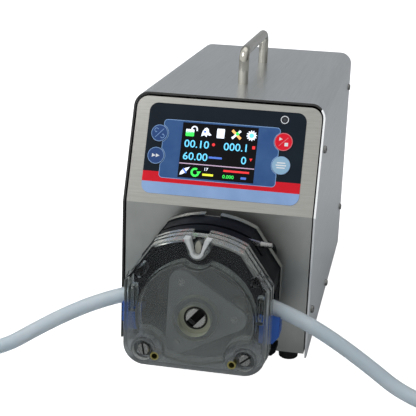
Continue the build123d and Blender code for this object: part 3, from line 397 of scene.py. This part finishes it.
def make_materials():
    return {
        "cover": brushed("steel_cover", (700, 18, 700), (0.68, 0.70, 0.71), (0.78, 0.80, 0.81)),
        "panel": brushed("steel_panel", (60, 900, 900), (0.335, 0.33, 0.305), (0.41, 0.405, 0.375)),
        # painted light: a separately toned copy of the panel's steel for the lower front faces
        "panel_low_painted_light": brushed("steel_panel_low", (40, 900, 30), (0.40, 0.41, 0.385), (0.50, 0.51, 0.485), (0.30, 0.42)),
        "tray": turned("tray_sheet", (0.30, 0.30, 0.30), (0.36, 0.36, 0.36), (0.35, 0.5)),
        "cut_edge": moulded("cut_edge_shadow", (0.010, 0.010, 0.009), (0.018, 0.018, 0.016), (0.5, 0.7)),
        "screw": turned("screw_steel", (0.20, 0.20, 0.19), (0.28, 0.28, 0.27), (0.2, 0.3)),
        # painted highlight: bright steel for the cover's right cut edge
        "painted_highlight_edge": turned("cover_edge_painted_highlight", (0.85, 0.86, 0.86), (0.95, 0.96, 0.96), (0.3, 0.4)),
        "polished": turned("polished_rod", (0.50, 0.48, 0.42), (0.58, 0.56, 0.50), (0.06, 0.12), scale=300),
        "zinc": turned("zinc_plate", (0.36, 0.36, 0.34), (0.46, 0.46, 0.44), (0.2, 0.34)),
        "ground": turned("ground_steel", (0.24, 0.24, 0.23), (0.30, 0.30, 0.29), (0.22, 0.34)),
        "bearing": ringed("bearing_and_seal", 8.8),
        "cast": turned("machined_aluminium", (0.40, 0.41, 0.42), (0.50, 0.51, 0.52), (0.32, 0.46)),
        "brass": turned("insert_brass", (0.28, 0.26, 0.08), (0.38, 0.34, 0.12), (0.34, 0.5)),
        "black_steel": turned("black_oxide", (0.03, 0.03, 0.03), (0.05, 0.05, 0.05), (0.35, 0.5), 0.6),
        # painted shade for the insides of slots
        "slot_painted_shade": moulded("slot_painted_shade", (0.002, 0.002, 0.002), (0.004, 0.004, 0.004), (0.7, 0.9)),
        "rubber": moulded("foot_rubber", (0.006, 0.006, 0.006), (0.012, 0.012, 0.012), (0.55, 0.75)),
        "black": moulded("black_moulding", (0.004, 0.005, 0.006), (0.006, 0.007, 0.008), (0.45, 0.6), IOR=1.12),
        "bed": moulded("bed_moulding", (0.002, 0.003, 0.004), (0.004, 0.005, 0.007), (0.42, 0.55), IOR=1.12),
        "blue": moulded("blue_moulding", (0.008, 0.075, 0.36), (0.014, 0.10, 0.44), (0.30, 0.42)),
        "rotor": moulded("rotor_plates", (0.13, 0.135, 0.14), (0.16, 0.165, 0.17), (0.36, 0.5)),
        "roller": moulded("roller_nylon", (0.30, 0.30, 0.27), (0.36, 0.36, 0.33), (0.25, 0.38)),
        "board": moulded("board_green", (0.01, 0.10, 0.045), (0.02, 0.15, 0.06), (0.3, 0.45)),
        "cover_clear": clear("clear_cover", (0.90, 0.94, 0.95), (0.02, 0.05), (0.30, 0.32, 0.33), 0.01, 0.30),
        "window_clear": clear("clear_window", (0.90, 0.93, 0.92), (0.03, 0.07), (0.24, 0.26, 0.25), 0.24),
        "frosted": clear("frosted_rim", (0.88, 0.90, 0.87), (0.06, 0.12), (0.62, 0.65, 0.62), 0.27),
        "hub_rim": clear("frosted_hub", (0.80, 0.83, 0.74), (0.08, 0.16), (0.42, 0.45, 0.36), 0.45),
        # milky white that is partly frosting and partly a painted reflection off the pocket's tapered wall
        "milky": clear("frosted_pocket_painted_reflection", (0.92, 0.93, 0.93), (0.2, 0.3), (0.72, 0.74, 0.74), 0.62),
        "stub": moulded("pocket_stub_grey", (0.26, 0.26, 0.22), (0.32, 0.32, 0.27), (0.35, 0.5)),
        "smoked": moulded("smoked_plate", (0.006, 0.007, 0.009), (0.012, 0.013, 0.015), (0.3, 0.42), IOR=1.3),
        "smoked_rim": clear("smoked_plate_rim", (0.70, 0.72, 0.68), (0.12, 0.2), (0.22, 0.23, 0.20), 0.55),
        "silicone": silicone("silicone_tube"),
        "film": printed("film_navy", (0.004, 0.009, 0.016), (0.006, 0.013, 0.022)),
        "print_red": printed("film_red", (0.66, 0.008, 0.020), (0.74, 0.012, 0.028)),
        "print_pink": printed("film_pink", (0.72, 0.22, 0.26), (0.80, 0.28, 0.32)),
        "print_pale": printed("film_pale_blue", (0.24, 0.38, 0.66), (0.30, 0.45, 0.74)),
        "print_blue": printed("film_blue", (0.028, 0.085, 0.25), (0.050, 0.125, 0.30)),
        "print_line": printed("film_line", (0.22, 0.38, 0.66), (0.28, 0.45, 0.74)),
        "print_white": printed("film_white", (0.72, 0.75, 0.78), (0.82, 0.84, 0.86)),
        "print_grey": printed("film_grey", (0.05, 0.06, 0.07), (0.07, 0.08, 0.09)),
        "key_dark": printed("key_navy", (0.025, 0.065, 0.20), (0.035, 0.085, 0.25)),
        "key_red": printed("key_red_ink", (0.72, 0.006, 0.022), (0.80, 0.012, 0.032)),
        "key_pale": printed("key_pale_ink", (0.26, 0.44, 0.60), (0.32, 0.51, 0.67)),
        "lens": moulded("lens_dark", (0.006, 0.008, 0.012), (0.012, 0.014, 0.02), (0.08, 0.16), depth=0.002),
        "glass": printed("display_black", (0.001, 0.001, 0.002), (0.002, 0.002, 0.003), (0.10, 0.16)),
        "lit_blue": glowing("lit_blue", (0.12, 0.58, 0.88), 0.75),
        "lit_white": glowing("lit_white", (0.80, 0.88, 1.0), 0.7),
        "lit_grey": glowing("lit_grey", (0.45, 0.50, 0.60), 0.5),
        "lit_green": glowing("lit_green", (0.03, 0.78, 0.08), 0.75),
        "lit_orange": glowing("lit_orange", (0.90, 0.42, 0.12), 0.7),
        "lit_red": glowing("lit_red", (0.75, 0.015, 0.02), 0.75),
        "lit_yellow": glowing("lit_yellow", (0.75, 0.80, 0.03), 0.7),
        "lit_deep": glowing("lit_deep_blue", (0.05, 0.13, 0.50), 0.75),
        "lit_pink": glowing("lit_pink", (0.50, 0.36, 0.50), 0.5),
    }


NODE_FINISH = {
    "housing_cover": "cover", "front_panel": "panel", "rear_panel": "panel", "base_tray": "tray",
    "cover_screws": "screw", "carry_handle": "polished", "handle_screws": "zinc", "rubber_feet": "rubber",
    "foot_screws": "zinc", "membrane_overlay": "film", "display_window": "glass", "display_module": "black",
    "indicator_lens": "lens", "key_direction": "key_dark", "key_prime": "key_dark", "key_start_stop": "key_red",
    "key_mode": "key_pale", "control_board": "board", "board_standoffs": "brass", "board_screws": "zinc",
    "drive_motor": "black_steel", "motor_bracket": "cast", "motor_screws": "black_steel", "motor_shaft": "ground",
    "power_supply": "cast", "driver_board": "board", "mains_inlet": "black", "mains_inlet_pins": "brass",
    "switch_frame": "black", "power_rocker": "black", "control_port": "zinc", "mounting_plate": "black",
    "mounting_plate_screws": "black_steel", "head_rear_plate": "smoked", "head_body": "black",
    "head_front_cover": "cover_clear", "head_screws": "ground", "brass_inserts": "brass", "front_bearing": "bearing",
    "rear_bearing": "ground", "guide_pins": "ground", "rotor_shaft": "zinc", "rotor_front_plate": "rotor",
    "rotor_rear_plate": "rotor", "roller_pins": "ground", "drive_coupling": "cast", "roller_1": "roller",
    "roller_2": "roller", "roller_3": "roller", "occlusion_bed": "bed", "cam_shaft": "ground",
    "release_lever": "ground", "lever_knob": "ground", "tube_retainer_right": "blue", "tube_retainer_left": "blue",
    "retainer_spring_right": "ground", "retainer_spring_left": "ground", "pump_tube": "silicone",
    "tube_tail_right": "silicone", "tube_tail_left": "silicone",
}


def finish_nodes(materials):
    for name, node in NODES.items():
        node.data.materials.clear()
        node.data.materials.append(materials[NODE_FINISH[name]])
        node.data.shade_smooth()
        node.data.set_sharp_from_angle(angle=math.radians(28))


# ---------------------------------------------------------------- shapes for printed and lit marks
def rounded(x, y, width, height, radius, steps=6):
    """Corner points of a rounded rectangle about (x, y), anticlockwise."""
    points = []
    for quarter, (sx, sy) in enumerate(((1, 1), (-1, 1), (-1, -1), (1, -1))):
        cx, cy = x + sx * (width / 2 - radius), y + sy * (height / 2 - radius)
        for i in range(steps + 1):
            turn = math.radians(90) * (quarter + i / steps)
            points.append((cx + radius * math.cos(turn), cy + radius * math.sin(turn)))
    return points


def disc(x, y, radius, steps=40):
    """A circle's points about (x, y)."""
    turns = [math.tau * i / steps for i in range(steps)]
    return [(x + radius * math.cos(t), y + radius * math.sin(t)) for t in turns]


def arc_band(x, y, inner, outer, start, end, steps=24):
    """A curved band between two radii, from start to end in degrees."""
    turns = [math.radians(start + (end - start) * i / steps) for i in range(steps + 1)]
    out = [(x + outer * math.cos(t), y + outer * math.sin(t)) for t in turns]
    back = [(x + inner * math.cos(t), y + inner * math.sin(t)) for t in reversed(turns)]
    return out + back


def turned_points(points, x, y, degrees):
    """Points turned about the origin, then moved to (x, y)."""
    c, s = math.cos(math.radians(degrees)), math.sin(math.radians(degrees))
    return [(x + px * c - py * s, y + px * s + py * c) for px, py in points]


def bar(x, y, width, height, degrees=0):
    w, h = width / 2, height / 2
    return turned_points([(-w, -h), (w, -h), (w, h), (-w, h)], x, y, degrees)


def arrow_head(x, y, size, degrees):
    return turned_points([(-size / 2, -size / 2), (size / 2, 0), (-size / 2, size / 2)], x, y, degrees)


def gear(x, y, inner, outer, teeth):
    """A toothed wheel's outline."""
    points = []
    for i in range(teeth):
        for share, radius in ((0.0, inner), (0.12, outer), (0.38, outer), (0.5, inner)):
            turn = math.tau * (i + share) / teeth
            points.append((x + radius * math.cos(turn), y + radius * math.sin(turn)))
    return points


def patches(name, outlines, place, thickness, material, body="pump"):
    """Thin raised patches, one for each outline in millimetres, on the plane that place gives."""
    made = bmesh.new()
    for outline in outlines:
        low = [made.verts.new((x * MM, y * MM, 0)) for x, y in outline]
        high = [made.verts.new((x * MM, y * MM, thickness * MM)) for x, y in outline]
        made.faces.new(high)
        made.faces.new(list(reversed(low)))
        for i in range(len(outline)):
            j = (i + 1) % len(outline)
            made.faces.new((low[i], low[j], high[j], high[i]))
    bmesh.ops.recalc_face_normals(made, faces=made.faces)
    made.transform(place)
    return put(name, mesh_from(made, name), material, body)


def put(name, mesh, material, body="pump"):
    """A piece in the scene that rides on a body."""
    mesh.materials.append(material)
    piece = bpy.data.objects.new(name, mesh)
    bpy.context.scene.collection.objects.link(piece)
    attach(piece, body)
    return piece


def digits(name, text, x, y, height, place, material, right=False):
    """A number on the display: (x, y) is its lower left corner, or its lower right one."""
    size_for_height, wider, bolder, half_thickness = 1.38, 1.08, 0.06, 0.01
    curve = bpy.data.curves.new(name, "FONT")
    curve.body = text
    curve.size = height * size_for_height * MM
    curve.extrude = half_thickness * MM
    curve.offset = bolder * MM
    curve.resolution_u = 3
    curve.align_x = "RIGHT" if right else "LEFT"
    mesh = curve_mesh(curve)
    corner = Matrix.Translation((x * MM, y * MM, half_thickness * MM))
    mesh.transform(place @ corner @ Matrix.Diagonal((wider, 1, 1, 1)))
    mesh.materials.clear()
    return put(name, mesh, material)


# ---------------------------------------------------------------- keypad print
INK = 0.04               # thickness of one printed layer


def film_band(low, high):
    """The stretch of the keypad film between two heights, with the film's round lower corners."""
    left, right, bottom, _, radius = FILM
    points = [(right, high), (left, high)]
    if low > bottom:
        return points + [(left, low), (right, low)]
    for side, edge in ((-1, left), (1, right)):
        turns = [math.radians(90) * i / 8 for i in range(9)]
        corner = [(edge - side * radius * (1 - math.cos(t)), bottom + radius * (1 - math.sin(t))) for t in turns]
        points += corner if side < 0 else corner[::-1]
    return points


def field_edge(side, inset):
    """One side of the blue field, from the display's foot to its head, with bites where keys stand."""
    left, right, low, high, radius = FIELD
    edge = right - inset if side > 0 else left + inset
    low, high, radius = low + inset, high - inset, radius - inset
    points = []
    for i in range(9):
        turn = math.radians(90) * i / 8
        points.append((edge - side * radius * (1 - math.sin(turn)), low + radius * (1 - math.cos(turn))))
    steps = 70
    for i in range(1, steps):
        height = low + radius + (high - low - 2 * radius) * i / steps
        reach = edge
        for x, y, key_radius, _ in KEYS.values():
            room = (key_radius + 0.3 + inset) ** 2 - (height - y) ** 2
            if room > 0 and x * side > 0:
                reach = side * min(side * reach, side * x - math.sqrt(room))
        points.append((reach, height))
    return points + [(x, low + high - y) for x, y in reversed(points[:9])]


def add_blue_field(materials):
    """The blue field in four patches round the display, with a thin light line along its border."""
    line = 0.45
    _, _, low, high, _ = FIELD
    left, right, window_low, window_high = WINDOW
    over = on_keypad(PRINT + INK)
    top = on_keypad(PRINT + 2 * INK)
    fields, borders = [], []
    for side, window_edge in ((-1, left), (1, right)):
        outer, inner = field_edge(side, 0.0), field_edge(side, line)
        fields.append([(window_edge, low + line)] + inner + [(window_edge, high - line)])
        borders += [[outer[i], outer[i + 1], inner[i + 1], inner[i]] for i in range(len(outer) - 1)]
        borders += [[(window_edge, y), outer[end], inner[end], (window_edge, y + (line if y == low else -line))]
                    for y, end in ((low, 0), (high, -1))]
    for y, inner in ((low, low + line), (high, high - line)):
        borders.append([(left, y), (right, y), (right, inner), (left, inner)])
    fields.append([(left, low + line), (right, low + line), (right, window_low), (left, window_low)])
    fields.append([(left, window_high), (right, window_high), (right, high - line), (left, high - line)])
    patches("film_field_border", borders, over, INK, materials["print_line"])
    patches("film_blue_field", fields, top, INK / 2, materials["print_blue"])


def ring(x, y, inner, outer):
    """A flat ring as two half bands."""
    return [arc_band(x, y, inner, outer, 0, 180), arc_band(x, y, inner, outer, 180, 360)]


def add_key_marks(materials):
    """Outlines and generic signs on the four keys, each riding on its own key."""
    top = on_keypad(KEY_TOP)
    for name, ink, width in (("key_direction", "print_line", 0.4), ("key_prime", "print_line", 0.4),
                             ("key_start_stop", "print_pink", 0.35), ("key_mode", "print_line", 0.3)):
        x, y, radius, body = KEYS[name]
        patches(name + "_outline", ring(x, y, radius - 0.1 - width, radius - 0.1), top, INK, materials[ink], body)
    x, y, _, body = KEYS["key_direction"]
    marks = [bar(x, y, 9.5, 0.4, 48)]
    for dx, dy, start in ((-2.6, 2.3, 20), (2.5, -2.3, 200)):
        marks.append(arc_band(x + dx, y + dy, 1.25, 1.65, start, start + 250))
        turn = math.radians(start + 250)
        tip = (x + dx + 1.45 * math.cos(turn), y + dy + 1.45 * math.sin(turn))
        marks.append(arrow_head(*tip, 1.3, start + 340))
    patches("key_direction_sign", marks, top, INK, materials["print_line"], body)
    x, y, _, body = KEYS["key_prime"]
    patches("key_prime_sign", [arrow_head(x - 1.6, y, 2.9, 0), arrow_head(x + 1.5, y, 2.9, 0)], top, INK,
            materials["print_white"], body)
    x, y, _, body = KEYS["key_start_stop"]
    patches("key_start_stop_sign", [arrow_head(x - 2.1, y + 2.0, 2.6, 0), bar(x + 2.3, y - 1.9, 2.7, 2.7)], top, INK,
            materials["print_white"], body)
    patches("key_start_stop_slash", [bar(x, y, 9.6, 0.35, 45)], top, INK, materials["print_pink"], body)
    x, y, _, body = KEYS["key_mode"]
    patches("key_mode_sign", [bar(x, y + dy, w, 0.9) for dy, w in ((1.9, 6.4), (0.0, 8.0), (-1.9, 6.4))], top, INK,
            materials["print_white"], body)


def add_indicator(materials):
    x, y, radius = LENS
    top = on_keypad(0.8)
    patches("indicator_ring", ring(x, y, radius - 0.75, radius - 0.2), top, INK, materials["print_white"])
    patches("indicator_dot", [disc(x, y, 0.8)], top, INK, materials["print_grey"])


def add_display(materials):
    """What the lit display shows: five signs, four numbers, a rule and a status row of bars."""
    lit = on_keypad(GLASS_TOP)
    up = on_keypad(GLASS_TOP + INK)

    def shown(name, outlines, ink, place=lit):
        patches(name, outlines, place, INK, materials[ink])

    shown("sign_lock", [rounded(-28.2, 58.6, 6.6, 2.8, 0.6)], "lit_white")
    shown("sign_lock_body", [rounded(-28.2, 56.3, 6.6, 3.6, 0.6)], "lit_green")
    shown("sign_lock_shackle", [arc_band(-24.9, 60.2, 1.6, 2.6, 0, 180), bar(-22.8, 59.6, 1.0, 1.4),
                                bar(-27.0, 60.0, 1.0, 0.6)], "lit_white")
    drop = [(-19.3, 55.2), (-18.4, 59.0), (-16.8, 61.6), (-15.3, 62.2), (-13.9, 61.2), (-13.3, 58.6),
            (-11.2, 56.6), (-12.6, 56.0), (-14.4, 56.6), (-15.0, 54.8), (-16.6, 56.2)]
    shown("sign_pump", [drop], "lit_white")
    shown("sign_pump_eye", [disc(-16.5, 58.9, 0.9, 16)], "lit_deep", up)
    shown("sign_page", [rounded(-4.1, 58.4, 6.0, 7.4, 0.5)], "lit_white")
    shown("sign_page_lines", [bar(-4.1, 56.6 + 1.2 * i, 3.8, 0.3) for i in range(4)], "lit_grey", up)
    shown("sign_tools_strokes", [bar(8.2, 58.6, 9.4, 2.0, -42)], "lit_orange")
    shown("sign_tools_pen", [bar(8.1, 58.5, 9.0, 1.7, 45)], "lit_white", up)
    shown("sign_tools_middle", [disc(8.9, 59.2, 1.4, 16)], "lit_green", on_keypad(GLASS_TOP + 2 * INK))
    shown("sign_gear", [gear(20.0, 58.7, 3.2, 4.1, 12)], "lit_white")
    shown("sign_gear_middle", [disc(20.0, 58.7, 1.8, 20)], "lit_blue", up)
    shown("mark_red", [disc(-8.8, 49.3, 1.2, 12), bar(22.5, 49.5, 2.2, 2.4), arrow_head(21.3, 39.8, 2.3, -90)],
          "lit_red")
    shown("mark_blue", [bar(-6.4, 39.2, 10.4, 1.5), bar(17.0, 25.2, 4.2, 1.7)], "lit_deep")
    shown("display_rule", [bar(-4.7, 33.1, 58.6, 0.7)], "lit_pink")
    plug = [(-33.0, 24.0), (-31.2, 24.4), (-28.6, 26.0), (-27.0, 28.0), (-25.4, 30.6), (-28.4, 29.6),
            (-30.6, 28.6), (-32.4, 26.4)]
    shown("sign_plug", [plug], "lit_white")
    shown("sign_plug_middle", [bar(-29.2, 27.4, 1.3, 4.4, 40)], "lit_deep", up)
    shown("sign_cycle", [arc_band(-20.9, 26.8, 1.9, 3.5, 60, 350), arrow_head(-17.6, 27.0, 3.2, 30)], "lit_green")
    shown("status_yellow", [bar(-10.8, 25.5, 8.4, 1.6)], "lit_yellow")
    shown("status_red", [bar(11.0, 29.8, 20.0, 1.5)], "lit_red")
    digits("number_flow", "00.10", -31.9, 45.9, 6.0, lit, materials["lit_blue"])
    digits("number_volume", "000.1", 18.9, 45.9, 6.0, lit, materials["lit_blue"], right=True)
    digits("number_speed", "60.00", -32.1, 36.2, 6.0, lit, materials["lit_blue"])
    digits("number_count", "0", 18.0, 36.2, 6.0, lit, materials["lit_blue"], right=True)
    digits("number_tube", "17", -14.4, 28.7, 2.3, lit, materials["lit_white"])
    digits("number_total", "0.000", 0.6, 24.1, 2.7, lit, materials["lit_green"])


def add_keypad(materials):
    film = on_keypad(PRINT)
    bottom = FILM[2]
    patches("film_pale_strip", [film_band(bottom, STRIPE[0])], film, INK, materials["print_pale"])
    low, high = STRIPE
    left, right, window_low, _ = WINDOW
    stripe = [film_band(low, window_low)]
    stripe += [[(a, window_low), (b, window_low), (b, high), (a, high)] for a, b in ((FILM[0], left), (right, FILM[1]))]
    patches("film_red_stripe", stripe, film, INK, materials["print_red"])
    add_blue_field(materials)
    add_key_marks(materials)
    add_indicator(materials)
    add_display(materials)


# ---------------------------------------------------------------- tube, cover and head details
UP = Vector((0, 0, 1))


def loop(made, centre, across, over, radius, sides):
    """A ring of new points about a centre, in the plane of two directions."""
    turns = [math.tau * i / sides for i in range(sides)]
    return [made.verts.new(centre + radius * (math.cos(t) * across + math.sin(t) * over)) for t in turns]


def bridge(made, rings):
    """Faces from each ring of points to the next."""
    for near, far in zip(rings, rings[1:]):
        for i in range(len(near)):
            j = (i + 1) % len(near)
            made.faces.new((near[i], near[j], far[j], far[i]))


def add_tail(name, node, route, material):
    """A free end of the pump's tube: an open-ended tube along the smooth line of its route."""
    curve = bpy.data.curves.new(name + "_route", "CURVE")
    curve.dimensions = "3D"
    curve.resolution_u = 16
    spline = curve.splines.new("NURBS")
    spline.points.add(len(route) - 1)
    for point, place in zip(spline.points, route):
        point.co = (*at(*place), 1)
    spline.order_u = 3
    spline.use_endpoint_u = True
    line = [vertex.co.copy() for vertex in curve_mesh(curve).vertices]

    made = bmesh.new()
    outside, bore = [], []
    for i, place in enumerate(line):
        ahead = (line[min(i + 1, len(line) - 1)] - line[max(i - 1, 0)]).normalized()
        across = ahead.cross(UP).normalized()
        over = across.cross(ahead)
        outside.append(loop(made, place, across, over, TUBE_R * MM, 40))
        bore.append(loop(made, place, across, over, TUBE_BORE_R * MM, 40))
    bridge(made, outside)
    bridge(made, bore)
    for end in (0, -1):
        bridge(made, [outside[end], bore[end]])
    bmesh.ops.recalc_face_normals(made, faces=made.faces)
    tail = put(name, mesh_from(made, name, 50), material)
    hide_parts(node)


def pocket_line(radius, half_top, top):
    """The tapered pocket's outline, open at the top: down one side, round the foot and up the other."""
    turns = [math.radians(180 + 180 * i / 20) for i in range(21)]
    foot = [(radius * math.cos(t), CAM_V + radius * math.sin(t)) for t in turns]
    return [(-half_top, top)] + foot + [(half_top, top)]


def add_pocket_lining(materials):
    """The frosted wall of the pocket in the clear cover, thick at the foot, with a stub on its floor. Its milky white
    is partly frosting and partly a painted reflection of light off the tapered wall.
    """
    outer, inner = pocket_line(5.0, 9.9, POCKET_TOP_V), pocket_line(3.0, 5.6, POCKET_TOP_V)
    front, floor = POCKET_Y
    made = bmesh.new()
    rows = []
    for points, y in ((outer, front), (inner, front), (inner, floor), (outer, floor)):
        rows.append([made.verts.new(head(u, y, v)) for u, v in points])
    count = len(outer)
    for row, following in zip(rows, rows[1:] + rows[:1]):
        for i in range(count - 1):
            made.faces.new((row[i], row[i + 1], following[i + 1], following[i]))
    for end in (0, count - 1):
        made.faces.new([row[end] for row in rows])
    bmesh.ops.recalc_face_normals(made, faces=made.faces)
    corners = [edge for edge in made.edges if edge.is_manifold and edge.calc_face_angle(0) > 0.9]
    bmesh.ops.bevel(made, geom=corners, offset=0.25 * MM, segments=2, affect="EDGES")
    # the lining's milky white is partly a painted reflection of light off the tapered wall
    lining = put("pocket_lining", mesh_from(made, "pocket_lining", 40), materials["milky"])
    place = facing_front(0, floor, HUB_Z + CAM_V + 1.8)
    stub = patches("pocket_stub", [[(0.85 * x, 1.7 * y) for x, y in disc(0, 0, 2.6)]], place, 2.6, materials["stub"])


def coil_mesh(name, low, high, wire, hand, turns=5, steps=24):
    """A round wire wound upwards to fill the box between two corners, right-handed if hand is 1."""
    middle = (low + high) / 2
    radius = (high.x - low.x) / 2 - wire
    bottom, top = low.z + wire, high.z - wire
    made = bmesh.new()
    rings = []
    for i in range(turns * steps + 1):
        turn = math.tau * i / steps
        spoke = Vector((hand * math.cos(turn), math.sin(turn), 0))
        height = bottom + (top - bottom) * i / (turns * steps)
        rings.append(loop(made, Vector((middle.x, middle.y, height)) + radius * spoke, spoke, UP, wire, 12))
    bridge(made, rings)
    made.faces.new(rings[0])
    made.faces.new(list(reversed(rings[-1])))
    bmesh.ops.recalc_face_normals(made, faces=made.faces)
    return mesh_from(made, name, 180)


def add_springs(materials):
    """The retainers' springs, wound as coils of wire that take the place of the spring nodes; the real springs shorten
    from the top as the retainers slide down.
    """
    for side, hand in (("right", 1), ("left", -1)):
        name, node, joint = "compression_spring_" + side, "retainer_spring_" + side, "retainer_" + side + "_slide"
        low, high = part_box(node)
        piece = put(name, coil_mesh(name, low, high, SPRING_WIRE_R * MM, hand), materials["ground"])
        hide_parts(node)
        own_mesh(piece)


def paint_faces(node, material, test):
    """A second finish for the faces of a node whose normal and middle pass a test."""
    mesh = NODES[node].data
    mesh.materials.append(material)
    index = len(mesh.materials) - 1
    for face in mesh.polygons:
        if test(face.normal, face.center):
            face.material_index = index


def sideways(normal, _):
    """Whether a face points to the side, up or down, and not to the front or back."""
    return abs(normal.y) < 0.6


def near(middle, centre, radius):
    """Whether a face's middle is within that many millimetres of a line along Y through centre."""
    return math.hypot(middle.x - centre.x, middle.z - centre.z) < radius * MM


def add_second_finishes(materials):
    """Cut edges, frosted rims and dark slots: faces told apart by where they point and lie. The front panel's lower
    front faces get a separately toned copy of the panel's steel as painted light, the cover's cut edges painted shade
    with a painted highlight on the right one, and the slots of the shaft and the screws painted shade.
    """
    face_y = at(0, COVER_FACE_Y, 0).y
    right_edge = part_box("housing_cover")[1].x - 3.0 * MM
    hub = head(0, 0, 0)
    pins = [head(side * GUIDE_PIN[0], 0, GUIDE_PIN[1]) for side in (-1, 1)]
    screws = [head(side * HEAD_SCREW[0], 0, HEAD_SCREW[1]) for side in (-1, 1)]

    def on_window(normal, middle):
        return normal.y < -0.9 and middle.y < face_y + 0.2 * MM

    def on_rim(normal, middle):
        return sideways(normal, middle) and not any(near(middle, pin, PIN_BOSS_R) for pin in pins)

    def on_hub_wall(normal, middle):
        return sideways(normal, middle) and near(middle, hub, HUB_WALL_R)

    def in_slot(centre, radius, front, depth):
        """A test for the faces of a slot that starts just behind a front face."""
        start = at(0, front + 0.3, 0).y
        return lambda _, middle: start < middle.y < start + depth * MM and near(middle, centre, radius)

    # painted light: the lower front faces get their own toned copy of the panel's steel
    paint_faces("front_panel", materials["panel_low_painted_light"], lambda normal, _: normal.y < -0.97)
    paint_faces("head_front_cover", materials["window_clear"], on_window)
    paint_faces("head_front_cover", materials["frosted"], on_rim)
    paint_faces("head_front_cover", materials["hub_rim"], on_hub_wall)
    paint_faces("head_rear_plate", materials["smoked_rim"], sideways)
    # painted shade: the cover's front cut edges are near black
    paint_faces("housing_cover", materials["cut_edge"], lambda normal, _: normal.y < -0.4)
    # painted highlight on the cover's right cut edge, where light from the right would catch it
    paint_faces("housing_cover", materials["painted_highlight_edge"],
                lambda normal, middle: normal.y < -0.4 and middle.x > right_edge)
    # painted shade inside the shaft's slot and the screws' slots
    paint_faces("rotor_shaft", materials["slot_painted_shade"], in_slot(hub, SHAFT_R, SHAFT_END_Y, 11.0))
    for screw in screws:
        paint_faces("head_screws", materials["slot_painted_shade"], in_slot(screw, HEAD_SCREW_R, HEAD_SCREW_Y, 1.6))


def build():
    materials = make_materials()
    finish_nodes(materials)
    add_second_finishes(materials)
    add_keypad(materials)
    add_pocket_lining(materials)
    add_springs(materials)
    add_tail("tail_tube_right", "tube_tail_right", TAIL_RIGHT, materials["silicone"])
    add_tail("tail_tube_left", "tube_tail_left", TAIL_LEFT, materials["silicone"])


add_camera()
add_floor()
add_lights()
build()
